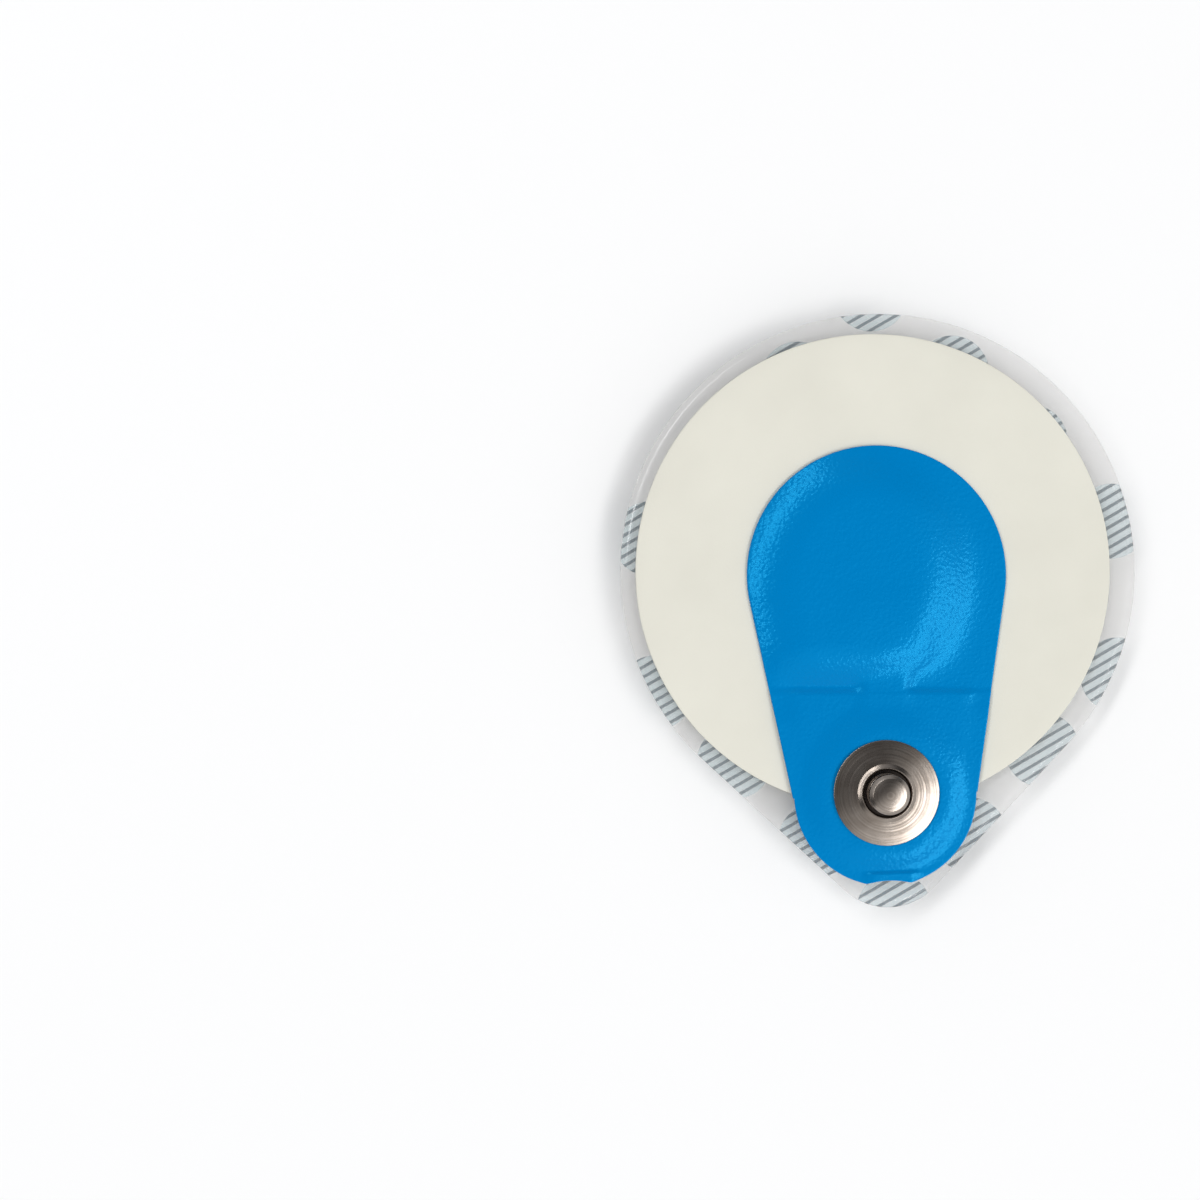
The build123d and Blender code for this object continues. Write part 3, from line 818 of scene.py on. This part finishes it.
def silverSalt():
    # Pressed silver chloride: pinkish brown and chalky, with darker grains
    material, tree, shader, place = newMaterial("Silver chloride pellet", {"Roughness": 0.8})
    grains = addNode(tree, "ShaderNodeTexNoise", {
        "Vector": place, "Scale": 1 / hidden["sensorGrain"], "Detail": 3.0})
    colour = addNode(tree, "ShaderNodeMix", {
        "Factor": grains, "A": linear(hidden["sensorDark"]), "B": linear(hidden["sensor"])}, data_type="RGBA")
    feed(tree, shader, "Base Color", colour)
    bump = addNode(tree, "ShaderNodeBump", {"Strength": 0.4, "Distance": 0.03 * mm, "Height": grains})
    feed(tree, shader, "Normal", bump)
    return material


def calenderedFilm(name, hexColour, roughness):
    # Calendered polymer film: flat colour, satin, with a faint drag along its length
    material, tree, shader, place = newMaterial(name, {
        "Base Color": linear(hexColour), "Roughness": roughness})
    across, along = hidden["drag"]
    drawn = addNode(tree, "ShaderNodeMapping", {"Vector": place, "Scale": (1 / across, 1 / along, 1)})
    drag = addNode(tree, "ShaderNodeTexNoise", {"Vector": drawn, "Scale": 1.0, "Detail": 2.0})
    bump = addNode(tree, "ShaderNodeBump", {"Strength": 0.3, "Distance": 0.02 * mm, "Height": drag})
    feed(tree, shader, "Normal", bump)
    return material


cadFinishes = {
    "sensor": silverSalt(),
    "lead_strip": calenderedFilm("Silver-coated polyester strip", hidden["strip"], 0.4),
    "tab_lining": calenderedFilm("Polyethylene lining film", hidden["lining"], 0.55),
    "snap_eyelet": nickel,
}
for node, finish in cadFinishes.items():
    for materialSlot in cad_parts[node].material_slots:
        materialSlot.material = finish
print("CAD nodes finished")


# Stage: table, softboxes, sky and camera

stage = {
    "tableHalfMm": 900.0,
    "tableDropMm": 0.01,
    "tableWhite": "#f7f7f7",
    "tooth": 4.0,
    "toothShare": 0.04,
    "softboxes": (              # watts, degrees anticlockwise from the picture's right and from above, metres
        ("Key softbox", 3.8, 328.0, 37.0, (0.25, 0.8)),
        ("Fill softbox", 4.9, 150.0, 36.0, (0.18, 1.2)),
    ),
    "boxDistance": 1.0,
    "wallAzimuth": 308.0,
    "nearWall": (0.0, 0.35),    # each wall comes up between these shares of the way towards it
    "farWall": (-0.15, -0.65),
    "wallStrength": 0.85,
    "backdrop": (0.05, 0.18),   # the plain white ends between these heights, as shares of straight up
    "skyDark": "#22252a",       # overhead, between the walls
    "skyFar": "#c4c6c9",
    "skyNear": "#ffffff",       # the wall on the key's side
}


def makeTable():
    # A level square of points
    side = np.linspace(-stage["tableHalfMm"], stage["tableHalfMm"], 9)
    x, y = np.meshgrid(side, side)
    points = np.stack([x, y, np.full_like(x, -stage["tableDropMm"])], axis=2)
    material, tree, shader, place = newMaterial("Matt white board", {
        "Roughness": 0.9, "Specular IOR Level": 0.1})
    tooth = addNode(tree, "ShaderNodeTexNoise", {"Vector": place, "Scale": 1 / stage["tooth"], "Detail": 2.0})
    share = addNode(tree, "ShaderNodeMapRange", {0: tooth, 1: 0.0, 2: 1.0, 3: 0.0, 4: stage["toothShare"]})
    colour = addNode(tree, "ShaderNodeMix", {
        "Factor": share, "A": linear(stage["tableWhite"]), "B": linear("#ffffff")}, data_type="RGBA")
    feed(tree, shader, "Base Color", colour)
    table = makePiece("table", points, False, False, [material])


def addSoftbox(name, watts, azimuth, zenith, size):
    # A lamp on a dome round the electrode, facing it: first its size down the dome, then along it
    lamp = bpy.data.lights.new(name, "AREA")
    lamp.shape = "RECTANGLE"
    lamp.size, lamp.size_y = size
    lamp.energy = watts
    holder = bpy.data.objects.new(name, lamp)
    turn, tilt = math.radians(azimuth) - roll, math.radians(zenith)
    across = stage["boxDistance"] * math.sin(tilt)
    holder.location = (
        across * math.cos(turn), across * math.sin(turn), stage["boxDistance"] * math.cos(tilt))
    holder.rotation_euler = (0, tilt, turn)
    bpy.context.scene.collection.objects.link(holder)


def makeSky():
    # A wall on the key's side and one opposite, and a dark slot between them overhead, which the snap
    # mirrors. The camera sees plain white round the horizon, and so do mirrored and refracted rays.
    world = bpy.data.worlds.new("Studio")
    bpy.context.scene.world = world
    world.use_nodes = True
    tree = world.node_tree
    tree.nodes.clear()
    direction = addNode(tree, "ShaderNodeTexCoord").outputs["Generated"]
    height = addNode(tree, "ShaderNodeSeparateXYZ", {"Vector": direction}).outputs["Z"]
    turn = math.radians(stage["wallAzimuth"]) - roll
    toward = addNode(tree, "ShaderNodeVectorMath", {
        0: direction, 1: (math.cos(turn), math.sin(turn), 0)}, operation="DOT_PRODUCT").outputs["Value"]
    nearStart, nearEnd = stage["nearWall"]
    farStart, farEnd = stage["farWall"]
    near = addNode(tree, "ShaderNodeMapRange", {
        0: toward, 1: nearStart, 2: nearEnd}, interpolation_type="SMOOTHSTEP")
    far = addNode(tree, "ShaderNodeMapRange", {
        0: toward, 1: farStart, 2: farEnd}, interpolation_type="SMOOTHSTEP")
    colour = addNode(tree, "ShaderNodeMix", {
        "Factor": far, "A": linear(stage["skyDark"]), "B": linear(stage["skyFar"])}, data_type="RGBA")
    colour = addNode(tree, "ShaderNodeMix", {
        "Factor": near, "A": colour, "B": linear(stage["skyNear"])}, data_type="RGBA")
    light = addNode(tree, "ShaderNodeBackground", {"Color": colour, "Strength": stage["wallStrength"]})
    white = addNode(tree, "ShaderNodeBackground", {"Color": linear("#ffffff"), "Strength": 1.0})
    rays = addNode(tree, "ShaderNodeLightPath").outputs
    seen = addNode(tree, "ShaderNodeMath", {
        0: rays["Is Camera Ray"], 1: rays["Is Glossy Ray"]}, operation="MAXIMUM")
    seen = addNode(tree, "ShaderNodeMath", {0: seen, 1: rays["Is Transmission Ray"]}, operation="MAXIMUM")
    start, end = stage["backdrop"]
    low = addNode(tree, "ShaderNodeMapRange", {0: height, 1: start, 2: end, 3: 1.0, 4: 0.0})
    backdrop = addNode(tree, "ShaderNodeMath", {0: seen, 1: low}, operation="MULTIPLY")
    mix = addNode(tree, "ShaderNodeMixShader", {0: backdrop, 1: light, 2: white})
    addNode(tree, "ShaderNodeOutputWorld", {"Surface": mix})


def makeCamera():
    # Straight down, over the middle of the picture; the lens gives the picture's width at the liner's height
    camera = bpy.data.cameras.new("Camera")
    camera.sensor_width = 36.0
    camera.lens = camera.sensor_width * picture["distanceMm"] / picture["widthMm"]
    camera.clip_start, camera.clip_end = 0.01, 10.0
    holder = bpy.data.objects.new("Camera", camera)
    right = np.array([math.cos(roll), -math.sin(roll)])
    up = np.array([math.sin(roll), math.cos(roll)])
    x, y = -(picture["rightMm"] * right + picture["upMm"] * up) * mm
    holder.location = (x, y, (liner["depth"] + picture["distanceMm"]) * mm)
    holder.rotation_euler = (0, 0, -roll)
    bpy.context.scene.collection.objects.link(holder)
    bpy.context.scene.camera = holder


makeTable()
for softbox in stage["softboxes"]:
    addSoftbox(*softbox)
makeSky()
makeCamera()
bpy.context.scene.view_settings.view_transform = "Standard"
print("stage set")
